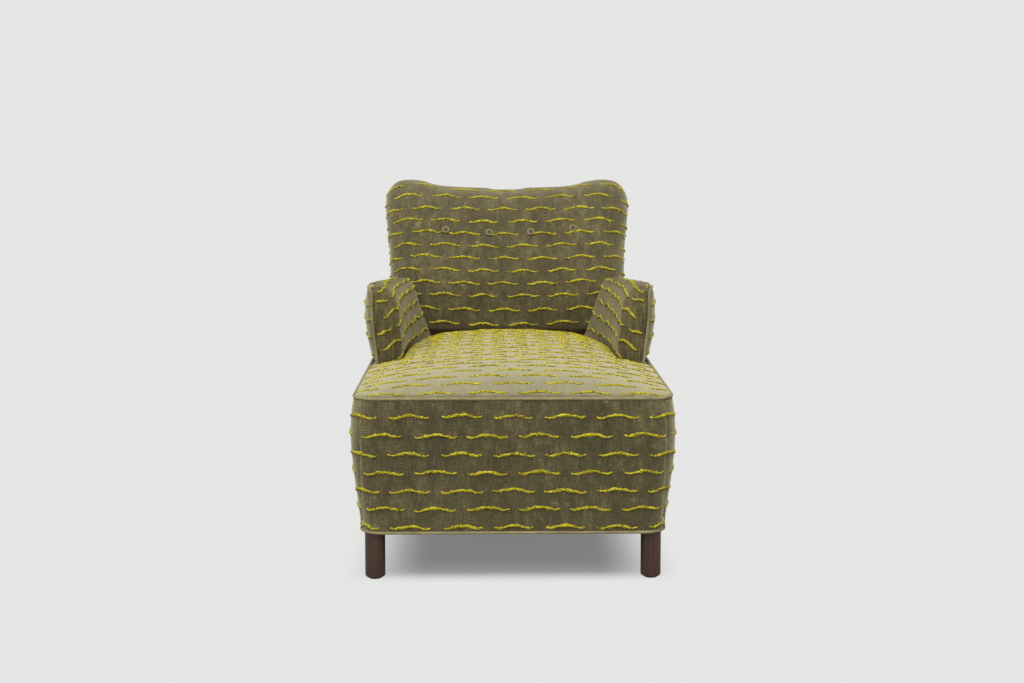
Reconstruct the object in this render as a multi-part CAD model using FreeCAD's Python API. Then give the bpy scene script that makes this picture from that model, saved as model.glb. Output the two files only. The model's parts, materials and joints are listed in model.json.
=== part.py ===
import FreeCAD, Part
import math
import os

# Chaise longue with a reclined back and two short arms, in millimetres.
# It is drawn with x across, z up and y running from the foot end to the back.
# The finished pieces are moved so that the origin lies on the floor, under the middle of the box.

# Legs and base
leg_height = 114.0
leg_diameter = 47.0
leg_edge_ease = 4.0
glide_height = 3.0
glide_inset = 4.0
bolt_diameter = 10.0
bolt_in_leg = 42.0
bolt_in_post = 50.0
seat_edge_height = 430.0
base_width = 751.0
base_length = 1256.0
base_corner_radius = 50.0
belly_drop = 45.0
tuck_under = 20.0
tuck_top = 6.5
border_seam_from_side = 24.0

# Cloth, padding and clearances
cloth = 2.5
wadding = 3.5
soft_gap = 0.3
tenon_gap = 0.2
bore_gap = 0.1
welt_diameter = 6.8
welt_sides = 8
cutter_margin = 1.0
dust_cover_thickness = 1.2

# Seat
crown_height = 41.0
crown_rise = 235.0
crown_fall = 33.0
crown_side_drop = 40.0
crown_power = 2.5
crown_lines = 11

# Back
back_thickness = 125.8
back_foot_width = 736.0
back_waist_width = 736.0
back_ear_width = 792.0
back_bend_height = 548.0
back_waist_height = 650.0
back_ear_height = 824.0
back_top_height = 887.0
crest_dip = 34.0
back_recline = 31.0
back_wing = 22.0
back_edge_soft = 38.0
back_rear_soft = 20.0
back_seam_from_rear = 44.0
ear_radius = 78.0
ear_tip_share = 0.29
ear_side_share = 0.58
ear_inner_share = 0.25
back_columns = (-1.0, -1.0, -0.84, -0.45, 0.0, 0.45, 0.84, 1.0, 1.0)

# Arms
arm_from_foot = 492.0
arm_top_height = 648.0
arm_spread = 370.0
arm_front_tuck = 6.0
arm_flare = 16.0
arm_bow = 14.0
arm_thickness = 94.0
arm_inner_slope = 16.0
arm_rear_sweep = 46.0
arm_shoulder_drop = 46.0
arm_corner_ease = 12.0
arm_rear_fall = 60.0
arm_rear_draw = 8.0
arm_nose_round = 26.0
arm_nose_soft = 5.0
arm_short_of_seam = 8.0
arm_body_start = 0.35
arm_body_lines = 4

# Lines of the arm's sheet: it starts at the front and at the inner foot
arm_seam_index = 4
arm_foot_index = 6
arm_rear_index = 5
arm_welt_share = 0.07
arm_welt_nose_share = 0.12

# Hardwood frame
rail_thickness = 28.0
lower_rail_height = 70.0
upper_rail_height = 60.0
upper_rail_drop = 35.0
post_width = 54.0
tenon_length = 20.0
tenon_thickness = 12.0
tenon_shoulder = 10.0
stretcher_from_foot = 640.0
stretcher_width = 45.0
stretcher_drop = 20.0
stretcher_tenon = 14.0
stile_width = 32.0
stile_depth = 40.0
back_rail_height = 46.0
back_rail_lift = 8.0
lumbar_rail_lift = 14.0
crest_rail_height = 60.0
crest_rail_cover = 24.0
crest_rail_end_cover = 34.0
crest_rail_round = 30.0
arm_post_from_front = 62.0
arm_post_width = 45.0
arm_rail_width = 44.0
arm_rail_height = 28.0
arm_rail_top_cover = 40.0
arm_rail_side_cover = 26.0

# Webbing and hessian
web_width = 50.0
web_thickness = 2.5
cross_web_count = 9
long_web_count = 5
back_web_count = 5
web_side_margin = 92.0
web_end_margin = 62.0
hessian_thickness = 1.2

# Buttons
button_diameter = 21.0
button_height = 7.0
button_dome = 5.5
button_lift = 0.6
button_row_drop = 145.0
button_pitch = 131.0
button_count = 4
tie_diameter = 3.0

# Places that follow from the sizes above
half_base = base_width / 2
belly_height = seat_edge_height - belly_drop
welt_radius = welt_diameter / 2
frame_inset = tuck_under + cloth + wadding
frame_half = half_base - frame_inset
frame_front = frame_inset
frame_rear = base_length - frame_inset
rail_inner = frame_half - rail_thickness
post_inner = frame_half - post_width
post_centre = frame_half - post_width / 2
post_front_centre = frame_front + post_width / 2
post_rear_centre = frame_rear - post_width / 2
stile_front = frame_rear - post_width
rail_top = seat_edge_height - upper_rail_drop
web_top = rail_top + 2 * web_thickness
pad_floor = web_top + hessian_thickness + soft_gap
border_floor = leg_height + welt_radius + soft_gap
border_top = seat_edge_height - welt_radius - soft_gap
body_floor = seat_edge_height + welt_radius + soft_gap
seat_inset = tuck_top + welt_radius + soft_gap
pad_inset = cloth + soft_gap
reach = base_length + base_width
recline_slope = math.tan(math.radians(back_recline))
back_from_foot = base_length - seat_inset - back_thickness
arm_length = back_from_foot + back_thickness - back_seam_from_rear - arm_short_of_seam - arm_from_foot
arm_rail_floor = arm_top_height - arm_rear_fall - arm_rail_top_cover - arm_rail_height
arm_post_from_foot = arm_from_foot + arm_post_from_front
arm_post_ranges = (
    (rail_inner, frame_half),
    (arm_post_from_foot, arm_post_from_foot + arm_post_width),
    (rail_top, arm_rail_floor),
)
button_row_height = back_top_height - button_row_drop
crest_floor = back_top_height - crest_dip - crest_rail_cover - crest_rail_height


def vector(x, y, z):
    return FreeCAD.Vector(x, y, z)


def box(x_range, y_range, z_range):
    ranges = (x_range, y_range, z_range)
    sizes = [high - low for low, high in ranges]
    corner = [low for low, high in ranges]
    return Part.makeBox(*sizes, vector(*corner))


def widened(limits, amount):
    low, high = limits
    return (low - amount, high + amount)


def around(centre, width):
    return (centre - width / 2, centre + width / 2)


def mirrored(shape):
    return shape.mirror(vector(0, 0, 0), vector(1, 0, 0))


def both_sides(shape):
    return Part.Compound([shape, mirrored(shape)])


def rod(diameter, start, direction, length):
    return Part.makeCylinder(diameter / 2, length, start, direction)


def prism(outline, direction):
    return Part.Face(Part.makePolygon(outline + outline[:1])).extrude(direction)


def spaced(count, low, high):
    return [low + (high - low) * number / (count - 1) for number in range(count)]


def closed_solid(faces):
    shell = Part.Shell(faces)
    shell.sewShape()
    return Part.Solid(shell)


def net_surface(net):
    counts = (len(net), len(net[0]))
    repeats = [[4] + [1] * (count - 4) + [4] for count in counts]
    knots = [list(range(count - 2)) for count in counts]
    surface = Part.BSplineSurface()
    surface.buildFromPolesMultsKnots(net, *repeats, *knots, False, False, 3, 3)
    return surface


def surface_edges(surface):
    low_u, high_u, low_v, high_v = surface.bounds()
    curves = (surface.uIso(low_u), surface.vIso(high_v), surface.uIso(high_u), surface.vIso(low_v))
    return [curve.toShape() for curve in curves]


def thick_sheet(outer, inner):
    faces = [outer.toShape(), inner.toShape()]
    for one, other in zip(surface_edges(outer), surface_edges(inner)):
        faces.append(Part.makeRuledSurface(one, other))
    return closed_solid(faces)


def largest(shape):
    return max(shape.Solids, key=lambda solid: solid.Volume)


# Base: it swells from its bottom edge to the belly and draws in again below the top welt.
def rounded_rectangle(half_width, front, rear, radius, height):
    side = half_width - radius
    corners = (
        (side, front + radius, -90),
        (side, rear - radius, 0),
        (-side, rear - radius, 90),
        (-side, front + radius, 180),
    )
    arcs = []
    for x, y, start in corners:
        arcs.append(Part.makeCircle(radius, vector(x, y, height), vector(0, 0, 1), start, start + 90))
    edges = []
    for arc, following in zip(arcs, arcs[1:] + arcs[:1]):
        edges.append(arc)
        edges.append(Part.makeLine(arc.Vertexes[-1].Point, following.Vertexes[0].Point))
    return Part.Wire(edges)


def base_tuck(height):
    if height < belly_height:
        return tuck_under * ((belly_height - height) / (belly_height - leg_height)) ** 2
    return tuck_top * ((height - belly_height) / belly_drop) ** 2


def base_outline(height, inset):
    draw = base_tuck(height) + inset
    radius = base_corner_radius - inset
    return rounded_rectangle(half_base - draw, draw, base_length - draw, radius, height)


def base_form(inset, floor, top):
    levels = (floor, (floor + belly_height) / 2, belly_height, top)
    return Part.makeLoft([base_outline(height, inset) for height in levels], True)


def make_border():
    hollow = base_form(cloth, border_floor - cutter_margin, border_top + cutter_margin)
    ring = base_form(0, border_floor, border_top).cut(hollow)
    between_seams = around(0, base_width - 2 * border_seam_from_side)
    whole_height = (0, seat_edge_height)
    end_depth = base_corner_radius + frame_inset
    front_zone = box(between_seams, (-cutter_margin, end_depth), whole_height)
    rear_zone = box(between_seams, (base_length - end_depth, base_length + cutter_margin), whole_height)
    right_zone = box((0, base_width), widened((0, base_length), cutter_margin), whole_height)
    sides = ring.cut(front_zone).cut(rear_zone)
    right = sides.common(right_zone)
    pad = base_form(pad_inset, border_floor, border_top)
    frame_room = box(
        widened((-frame_half, frame_half), soft_gap),
        widened((frame_front, frame_rear), soft_gap),
        whole_height,
    )
    return {
        "front_border_cover": ring.common(front_zone),
        "rear_border_cover": ring.common(rear_zone),
        "right_border_cover": right,
        "left_border_cover": mirrored(right),
        "border_pad": pad.cut(frame_room),
    }


def make_base_welts():
    welts = {}
    for name, height in (("top_welt", seat_edge_height), ("bottom_welt", leg_height)):
        path = base_outline(height, 0)
        start = path.Edges[1].Vertexes[0].Point
        corners = []
        for number in range(welt_sides + 1):
            turn = 2 * math.pi * number / welt_sides
            corners.append(start + vector(welt_radius * math.cos(turn), 0, welt_radius * math.sin(turn)))
        welts[name] = path.makePipeShell([Part.makePolygon(corners)], True, False)
    return welts


# Seat: it rises from its edges to a long crown that falls gently towards the back.
def crown_share(distance, length):
    return 1 - max(0.0, 1 - distance / length) ** crown_power


def crown_at(x, y):
    half_width = half_base - seat_inset
    past_peak = max(0.0, y - seat_inset - crown_rise) / (back_from_foot - crown_rise)
    height = crown_height - crown_fall * past_peak ** 2
    side_drop = crown_side_drop * (past_peak * x / half_width) ** 2
    risen = crown_share(half_width - abs(x), half_width) * crown_share(y - seat_inset, crown_rise)
    return height * risen - side_drop


def seat_form(inset, drop, floor):
    half_width = half_base - seat_inset
    rear = back_from_foot + back_thickness
    net = []
    for share in spaced(crown_lines, 0, 1):
        y = seat_inset + (rear - seat_inset) * share ** 2
        line = []
        for turn in spaced(crown_lines, -90, 90):
            x = half_width * math.sin(math.radians(turn))
            line.append(vector(x, y, seat_edge_height + cloth - drop + crown_at(x, y)))
        net.append(line)
    depth = seat_edge_height + cloth - drop - floor + crown_height
    crowned = net_surface(net).toShape().extrude(vector(0, 0, -depth))
    margin = seat_inset + inset
    radius = base_corner_radius - inset
    outline = rounded_rectangle(half_base - margin, margin, rear - cutter_margin, radius, floor)
    plan = Part.Face(outline).extrude(vector(0, 0, depth + crown_height))
    return crowned.common(plan)


# Back: a front and a rear sheet that meet along a seam round the sides and the crest.
def back_lean(height):
    return max(0.0, height - back_bend_height) * recline_slope


def back_net(inset, rear):
    shoulder_height = (back_waist_height + back_ear_height) / 2
    shoulder_width = (back_waist_width + back_ear_width) / 2
    rows = (
        (pad_floor, back_foot_width),
        (back_bend_height, back_waist_width),
        (back_waist_height, back_waist_width),
        (shoulder_height, shoulder_width),
        (back_ear_height, back_ear_width),
        (back_top_height, back_ear_width),
        (back_top_height, back_ear_width),
    )
    top_row = len(rows) - 1
    soft_row = top_row - 1
    sides = (0, len(back_columns) - 1)
    soft_columns = (1, len(back_columns) - 2)
    full_height = back_top_height - pad_floor
    net = []
    for row, (side_height, width) in enumerate(rows):
        line = []
        for column, share in enumerate(back_columns):
            top = back_top_height - inset - crest_dip * (1 - share ** 2)
            x_trim = 0.0
            z = pad_floor + (side_height - pad_floor) * (top - pad_floor) / full_height
            if row == top_row and column in sides:
                x_trim = ear_tip_share * ear_radius
                z = top - x_trim
            if row == top_row and column in soft_columns:
                x_trim = ear_side_share * ear_radius
            if row == soft_row and column in sides:
                z = top - ear_side_share * ear_radius
            if row == soft_row and column in soft_columns:
                x_trim = ear_inner_share * ear_radius
                z = top - x_trim
            x = share * (width / 2 - inset - x_trim)
            wing = back_wing * share ** 2 * min(1.0, (z - pad_floor) / (back_waist_height - pad_floor))
            front_y = back_from_foot + back_lean(z) - wing
            rear_y = front_y + back_thickness
            rounded = column in soft_columns or row == soft_row
            if column in sides or row == top_row:
                y = rear_y - back_seam_from_rear
            elif rear:
                y = rear_y - inset - back_rear_soft * rounded
            else:
                y = front_y + inset + back_edge_soft * rounded
            line.append(vector(x, y, z))
        net.append(line)
    return net


def back_surface(inset, rear):
    return net_surface(back_net(inset, rear))


def back_form(inset):
    sheets = [back_surface(inset, False), back_surface(inset, True)]
    floor = Part.Face(Part.Wire([surface_edges(sheet)[0] for sheet in sheets]))
    return closed_solid([sheet.toShape() for sheet in sheets] + [floor])


# Arm: an arched sheet from the inner foot over the top to the outer foot, with a rounded nose.
def arm_outer(share):
    foot = arm_spread - arm_front_tuck * (1 - share) ** 3
    flare = (arm_flare + arm_rear_draw) * (1 - share ** 2) - arm_rear_draw * share ** 2
    return foot, foot + flare + arm_bow * math.sin(math.pi * share)


def arm_net(inset):
    nose_share = arm_nose_round / arm_length
    stations = [(0, arm_nose_round), (0, arm_nose_soft), (nose_share / 2, 0), (2 * nose_share, 0)]
    stations += [(share, 0) for share in spaced(arm_body_lines, arm_body_start, 1)]
    net = []
    for share, nose in stations:
        draw = inset + nose
        outer_foot, outer = arm_outer(share)
        inner = outer - arm_thickness
        inner_foot = inner - arm_inner_slope - arm_rear_sweep * share ** 2
        top = arm_top_height - arm_rear_fall * share
        shoulder = top - arm_shoulder_drop
        waist = (pad_floor + shoulder) / 2
        points = (
            (inner_foot + draw, pad_floor),
            ((inner_foot + inner) / 2 + draw, waist),
            (inner + draw, shoulder),
            (inner + arm_corner_ease + draw, top - draw),
            ((inner + outer) / 2, top + arm_corner_ease - draw),
            (outer - arm_corner_ease - draw, top - draw),
            (outer - draw, shoulder),
            ((outer_foot + outer) / 2 - draw, waist),
            (outer_foot - draw, pad_floor),
        )
        y = arm_from_foot + arm_length * share + inset * (share < nose_share)
        net.append([vector(x, y, z) for x, z in points])
    return net


def arm_piece(inset, along, around_arm):
    surface = net_surface(arm_net(inset))
    surface.segment(*along, *around_arm)
    return surface


def arm_panel(outer_inset, inner_inset, along, around_arm):
    return thick_sheet(arm_piece(outer_inset, along, around_arm), arm_piece(inner_inset, along, around_arm))


def arm_strip(along, around_arm):
    return arm_panel(-welt_diameter, -soft_gap, along, around_arm)


def arm_form(inset):
    sheet = net_surface(arm_net(inset))
    front, outer_foot, rear, inner_foot = surface_edges(sheet)
    faces = [sheet.toShape()]
    sills = []
    for edge in (front, rear):
        sill = Part.makeLine(edge.valueAt(edge.FirstParameter), edge.valueAt(edge.LastParameter))
        faces.append(Part.Face(Part.Wire([edge, sill])))
        sills.append(sill)
    floor = Part.Wire(Part.__sortEdges__([sills[0], outer_foot, sills[1], inner_foot]))
    faces.append(Part.Face(floor))
    return closed_solid(faces)


# Frame: tenoned members, each with the socket that its neighbours are cut with.
def tenoned(ranges, along, thin, length):
    core = []
    for axis, limits in enumerate(ranges):
        if axis == along:
            core.append(widened(limits, length))
        elif axis == thin:
            core.append(around(sum(limits) / 2, tenon_thickness))
        else:
            core.append(widened(limits, -tenon_shoulder))
    socket = box(*[widened(limits, tenon_gap) for limits in core])
    return box(*ranges).fuse(box(*core)), socket


def leaning_bar(front, depth, z_range, x_range):
    heights = list(z_range)
    if heights[0] < back_bend_height < heights[1]:
        heights.insert(1, back_bend_height)
    face = [vector(x_range[0], front + back_lean(z), z) for z in heights]
    rear = [point + vector(0, depth, 0) for point in reversed(face)]
    return prism(face + rear, vector(x_range[1] - x_range[0], 0, 0))


def leaning_rail(z_range):
    tenon_front = stile_front + (rail_thickness - tenon_thickness) / 2
    tenon_z = widened(z_range, -tenon_shoulder)
    tenon_x = around(0, 2 * (post_inner + tenon_length))
    body = leaning_bar(stile_front, rail_thickness, z_range, around(0, 2 * post_inner))
    core = leaning_bar(tenon_front, tenon_thickness, tenon_z, tenon_x)
    socket = leaning_bar(
        tenon_front - tenon_gap,
        tenon_thickness + 2 * tenon_gap,
        widened(tenon_z, tenon_gap),
        widened(tenon_x, tenon_gap),
    )
    return body.fuse(core), socket


def crest_form(front, depth, floor, gap):
    half = back_ear_width / 2 - crest_rail_end_cover + gap
    middle = back_top_height - crest_dip - crest_rail_cover + gap
    side = middle + crest_dip * (half / (back_ear_width / 2)) ** 2
    crest = Part.Arc(vector(-half, 0, side), vector(0, 0, middle), vector(half, 0, side)).toShape()
    corners = ((half, side), (half, floor), (-half, floor), (-half, side))
    points = [vector(x, 0, z) for x, z in corners]
    lines = [Part.makeLine(one, other) for one, other in zip(points, points[1:])]
    block = Part.Face(Part.Wire([crest] + lines)).extrude(vector(0, reach, 0))
    ends = [edge for edge in block.Edges if is_ear_corner(edge, side)]
    rounded = block.makeFillet(crest_rail_round, ends)
    return rounded.common(leaning_bar(front, depth, (floor, back_top_height), around(0, reach)))


def is_ear_corner(edge, height):
    level = all(abs(vertex.Z - height) < soft_gap for vertex in edge.Vertexes)
    return level and edge.Length > reach - cutter_margin


def corner_post(y_range, outer_face):
    post = box((post_inner, frame_half), y_range, (leg_height, rail_top))
    corner = [edge for edge in post.Edges if is_upright_at(edge, frame_half, outer_face)]
    return post.makeFillet(base_corner_radius - cloth - wadding - soft_gap, corner)


def is_upright_at(edge, x, y):
    return all(abs(vertex.X - x) + abs(vertex.Y - y) < soft_gap for vertex in edge.Vertexes)


def make_frame():
    low = (leg_height, leg_height + lower_rail_height)
    high = (rail_top - upper_rail_height, rail_top)
    between_posts = (-post_inner, post_inner)
    front = (frame_front, frame_front + rail_thickness)
    rear = (frame_rear - rail_thickness, frame_rear)
    side = (rail_inner, frame_half)
    side_length = (frame_front + post_width, stile_front)
    nodes = {}
    front_low, front_low_socket = tenoned((between_posts, front, low), 0, 1, tenon_length)
    front_high, front_high_socket = tenoned((between_posts, front, high), 0, 1, tenon_length)
    rear_low, rear_low_socket = tenoned((between_posts, rear, low), 0, 1, tenon_length)
    rear_high, rear_high_socket = tenoned((between_posts, rear, high), 0, 1, tenon_length)
    side_low, side_low_socket = tenoned((side, side_length, low), 1, 0, tenon_length)
    side_high, side_high_socket = tenoned((side, side_length, high), 1, 0, tenon_length)
    stretcher_height = (high[0], rail_top - stretcher_drop)
    stretcher_place = around(stretcher_from_foot, stretcher_width)
    between_rails = (-rail_inner, rail_inner)
    stretcher_ranges = (between_rails, stretcher_place, stretcher_height)
    stretcher, stretcher_socket = tenoned(stretcher_ranges, 0, 1, stretcher_tenon)
    arm_post, arm_post_socket = tenoned(arm_post_ranges, 2, 0, tenon_length)

    front_post = corner_post((frame_front, frame_front + post_width), frame_front)
    for socket in (front_low_socket, front_high_socket, side_low_socket, side_high_socket):
        front_post = front_post.cut(socket)
    bolt_room = bolt_diameter + 2 * bore_gap
    bolt_top = vector(post_centre, post_front_centre, leg_height)
    front_post = front_post.cut(rod(bolt_room, bolt_top, vector(0, 0, 1), bolt_in_post + bore_gap))

    lower_z = (body_floor + back_rail_lift, body_floor + back_rail_lift + back_rail_height)
    lumbar_z = (lower_z[1] + lumbar_rail_lift, lower_z[1] + lumbar_rail_lift + back_rail_height)
    back_rail, back_rail_socket = leaning_rail(lower_z)
    lumbar_rail, lumbar_socket = leaning_rail(lumbar_z)
    stile_x = (post_inner, post_inner + stile_width)
    stile = corner_post((stile_front, frame_rear), frame_rear)
    stile = stile.fuse(leaning_bar(stile_front, stile_depth, (leg_height, crest_floor), stile_x))
    tenon_front = stile_front + (rail_thickness - tenon_thickness) / 2
    tenon_x = widened(stile_x, -tenon_shoulder)
    tenon_z = (crest_floor - tenon_length, crest_floor + tenon_length)
    crest_socket = leaning_bar(
        tenon_front - tenon_gap,
        tenon_thickness + 2 * tenon_gap,
        widened(tenon_z, tenon_gap),
        widened(tenon_x, tenon_gap),
    )
    for socket in (rear_low_socket, rear_high_socket, side_low_socket, side_high_socket):
        stile = stile.cut(socket)
    stile = stile.cut(back_rail_socket).cut(lumbar_socket)
    stile = stile.fuse(leaning_bar(tenon_front, tenon_thickness, tenon_z, tenon_x))
    bolt_top = vector(post_centre, post_rear_centre, leg_height)
    stile = stile.cut(rod(bolt_room, bolt_top, vector(0, 0, 1), bolt_in_post + bore_gap))

    crest_rail = crest_form(stile_front, rail_thickness, crest_floor, 0)
    side_high = side_high.cut(stretcher_socket).cut(arm_post_socket)
    arm_rail = arm_rail_form(0).cut(stile).cut(arm_post_socket)
    nodes["front_lower_rail"] = front_low
    nodes["front_upper_rail"] = front_high
    nodes["rear_lower_rail"] = rear_low
    nodes["rear_upper_rail"] = rear_high
    nodes["right_lower_rail"] = side_low
    nodes["right_upper_rail"] = side_high
    nodes["right_front_post"] = front_post
    nodes["right_back_stile"] = stile
    nodes["right_arm_post"] = arm_post
    nodes["right_arm_rail"] = arm_rail
    for name in [name for name in nodes if name.startswith("right_")]:
        nodes[name.replace("right_", "left_")] = mirrored(nodes[name])
    nodes["seat_stretcher"] = stretcher
    nodes["lower_back_rail"] = back_rail
    nodes["lumbar_rail"] = lumbar_rail
    nodes["crest_rail"] = crest_rail.cut(crest_socket).cut(mirrored(crest_socket))
    return nodes


def arm_rail_form(gap):
    width = arm_rail_width + 2 * gap
    front = (arm_post_ranges[1][0], arm_outer(0)[1] - arm_rail_side_cover - arm_rail_width / 2)
    rear = (stile_front, post_inner + stile_width / 2)
    half_way = (front[0] + rear[0]) / 2
    outer_there = arm_outer((half_way - arm_from_foot) / arm_length)[1]
    middle = (half_way, outer_there - arm_rail_side_cover - arm_rail_width / 2)
    floor = arm_rail_floor - gap
    sides = []
    for offset in (-width / 2, width / 2):
        points = [vector(x + offset, y, floor) for y, x in (front, middle, rear)]
        points[0].y -= gap
        sides.append(Part.Arc(*points).toShape())
    ends = []
    for number in (0, -1):
        ends.append(Part.makeLine(sides[0].Vertexes[number].Point, sides[1].Vertexes[number].Point))
    outline = Part.Wire(Part.__sortEdges__(sides + ends))
    return Part.Face(outline).extrude(vector(0, 0, arm_rail_height + 2 * gap))


# Legs, with their glides and hanger bolts
def make_legs():
    leg = rod(leg_diameter, vector(0, 0, glide_height), vector(0, 0, 1), leg_height - glide_height)
    foot_edge = min(leg.Edges, key=lambda edge: edge.BoundBox.ZMax)
    leg = leg.makeChamfer(leg_edge_ease, [foot_edge])
    bolt_foot = vector(0, 0, leg_height - bolt_in_leg)
    up = vector(0, 0, 1)
    leg = leg.cut(rod(bolt_diameter + 2 * bore_gap, bolt_foot - up * bore_gap, up, leg_height))
    glide = rod(leg_diameter - 2 * (leg_edge_ease + glide_inset), vector(0, 0, 0), up, glide_height)
    bolt = rod(bolt_diameter, bolt_foot, up, bolt_in_leg + bolt_in_post)
    places = {
        "front_right_leg": vector(post_centre, post_front_centre, 0),
        "front_left_leg": vector(-post_centre, post_front_centre, 0),
        "rear_right_leg": vector(post_centre, post_rear_centre, 0),
        "rear_left_leg": vector(-post_centre, post_rear_centre, 0),
    }
    nodes = {name: leg.translated(place) for name, place in places.items()}
    nodes["leg_glides"] = Part.Compound([glide.translated(place) for place in places.values()])
    nodes["leg_bolts"] = Part.Compound([bolt.translated(place) for place in places.values()])
    margin = cloth + wadding
    sheet = box(
        around(0, 2 * (frame_half - margin)),
        (frame_front + margin, frame_rear - margin),
        (leg_height - dust_cover_thickness, leg_height),
    )
    for place in places.values():
        sheet = sheet.cut(rod(leg_diameter + 2 * soft_gap, place, vector(0, 0, 1), leg_height))
    nodes["dust_cover"] = largest(sheet)
    return nodes


# Webbing and hessian
def make_webbing(nodes):
    posts = Part.Compound([nodes["right_arm_post"], nodes["left_arm_post"]])
    stiles = Part.Compound([nodes["right_back_stile"], nodes["left_back_stile"]])
    margin = cloth + wadding
    full_width = around(0, 2 * (frame_half - margin))
    full_length = (frame_front + margin, frame_rear - margin)
    cross_z = (rail_top, rail_top + web_thickness)
    long_z = (cross_z[1], web_top)
    first = frame_front + web_end_margin
    last = stile_front - web_end_margin
    cross = [box(full_width, around(y, web_width), cross_z) for y in spaced(cross_web_count, first, last)]
    side = frame_half - web_side_margin
    long = [box(around(x, web_width), full_length, long_z) for x in spaced(long_web_count, -side, side)]
    sheet = box(full_width, full_length, (web_top, web_top + hessian_thickness))
    web_front = stile_front - web_thickness
    web_range = (body_floor + back_rail_lift, crest_floor + tenon_length)
    back_side = post_inner - web_side_margin
    upright = []
    for x in spaced(back_web_count, -back_side, back_side):
        upright.append(leaning_bar(web_front, web_thickness, web_range, around(x, web_width)))
    back_sheet = leaning_bar(
        web_front - hessian_thickness,
        hessian_thickness,
        web_range,
        around(0, 2 * (post_inner + stile_width)),
    )
    return {
        "seat_cross_webbing": Part.Compound([strap.cut(posts) for strap in cross]),
        "seat_long_webbing": Part.Compound(long),
        "seat_hessian": sheet.cut(posts).cut(stiles),
        "back_webbing": Part.Compound(upright),
        "back_hessian": back_sheet,
    }


# Pads and covers above the base
def outside_frame_below(level):
    whole = box(around(0, reach), (-reach, reach), (0, level))
    return whole.cut(box(around(0, 2 * frame_half), (frame_front, frame_rear), (0, level)))


def make_seat(back_room, arm_rooms):
    cover = seat_form(0, 0, pad_floor).cut(seat_form(-cutter_margin, cloth, pad_floor - cutter_margin))
    pad = seat_form(pad_inset, pad_inset, pad_floor).cut(outside_frame_below(border_top + soft_gap))
    for room in [back_room] + arm_rooms:
        cover = cover.cut(room)
        pad = pad.cut(room)
    return {"seat_cover": largest(cover), "seat_pad": largest(pad)}


def make_arms(back_room, seat_room):
    below = box(around(0, reach), (-reach, reach), (0, body_floor))
    panel_spans = ((0, arm_rear_index), (arm_seam_index, arm_foot_index))
    outside = arm_panel(0, cloth, *panel_spans)
    outside_room = arm_panel(-cutter_margin, cloth + cutter_margin, *panel_spans)
    inside = arm_form(0).cut(arm_form(cloth)).cut(outside_room)
    pad = arm_form(pad_inset).cut(outside_frame_below(body_floor))
    post_room = box(*[widened(limits, soft_gap) for limits in arm_post_ranges])
    pad = pad.cut(post_room).cut(arm_rail_form(soft_gap)).cut(back_room)
    front_welt = arm_strip((0, arm_welt_nose_share), (arm_seam_index - arm_welt_share, arm_foot_index))
    top_welt = arm_strip((arm_welt_nose_share, arm_rear_index), around(arm_seam_index, 2 * arm_welt_share))
    welts = [largest(strip.cut(below).cut(back_room).cut(seat_room)) for strip in (front_welt, top_welt)]
    right = {
        "right_outside_arm_cover": largest(outside.cut(below).cut(back_room)),
        "right_inside_arm_cover": largest(inside.cut(below).cut(back_room)),
        "right_arm_pad": largest(pad),
        "right_arm_welt": Part.Compound(welts),
    }
    left = {name.replace("right_", "left_"): mirrored(shape) for name, shape in right.items()}
    return {**right, **left}


def make_back():
    below = box(around(0, reach), (-reach, reach), (0, body_floor))
    inside = thick_sheet(back_surface(0, False), back_surface(cloth, False)).cut(below)
    outside = thick_sheet(back_surface(0, True), back_surface(cloth, True)).cut(below)
    frame_face = stile_front - web_thickness - hessian_thickness - soft_gap
    hollow_x = around(0, 2 * (post_inner + stile_width + soft_gap))
    hollow = leaning_bar(frame_face, back_thickness, (0, crest_floor), hollow_x)
    crest_depth = stile_front - frame_face + rail_thickness + soft_gap
    crest_room = crest_form(frame_face, crest_depth, crest_floor - cutter_margin, soft_gap)
    pad = back_form(pad_inset).cut(outside_frame_below(body_floor)).cut(hollow).cut(crest_room)
    arm_rails = both_sides(arm_rail_form(soft_gap))
    pad = pad.cut(arm_rails)
    inside = inside.cut(arm_rails)
    surface = back_surface(0, False)
    buttons = []
    ties = []
    row_half = button_pitch * (button_count - 1) / 2
    for x in spaced(button_count, -row_half, row_half):
        level = Part.Line(vector(x, 0, button_row_height), vector(x, reach, button_row_height))
        seat_point = level.intersectCS(surface)[0][0]
        seat = vector(seat_point.X, seat_point.Y, seat_point.Z)
        normal = surface.normal(*surface.parameter(seat))
        outward = normal * -1 if normal.y > 0 else normal
        button = rod(button_diameter, seat + outward * button_lift, outward, button_height)
        rim = max(button.Edges, key=lambda edge: edge.CenterOfMass.dot(outward))
        buttons.append(button.makeChamfer(button_dome, [rim]))
        inward = outward * -1
        start = seat + outward * button_lift
        offset = frame_face + soft_gap + back_lean(start.z) - start.y
        length = offset / (inward.y - inward.z * recline_slope)
        ties.append(rod(tie_diameter, start, inward, length))
        bore = rod(tie_diameter + 2 * soft_gap, start, inward, length)
        pad = pad.cut(bore)
        inside = inside.cut(bore)
    return {
        "inside_back_cover": largest(inside),
        "outside_back_cover": largest(outside),
        "back_pad": largest(pad),
        "back_buttons": Part.Compound(buttons),
        "button_ties": Part.Compound(ties),
    }


def make_all():
    nodes = make_legs()
    nodes.update(make_frame())
    nodes.update(make_webbing(nodes))
    nodes.update(make_border())
    nodes.update(make_base_welts())
    back_room = back_form(-soft_gap)
    arm_room = arm_form(-soft_gap)
    nodes.update(make_back())
    nodes.update(make_arms(back_room, seat_form(-soft_gap, -soft_gap, pad_floor)))
    nodes.update(make_seat(back_room, [arm_room, mirrored(arm_room)]))
    return nodes


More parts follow.
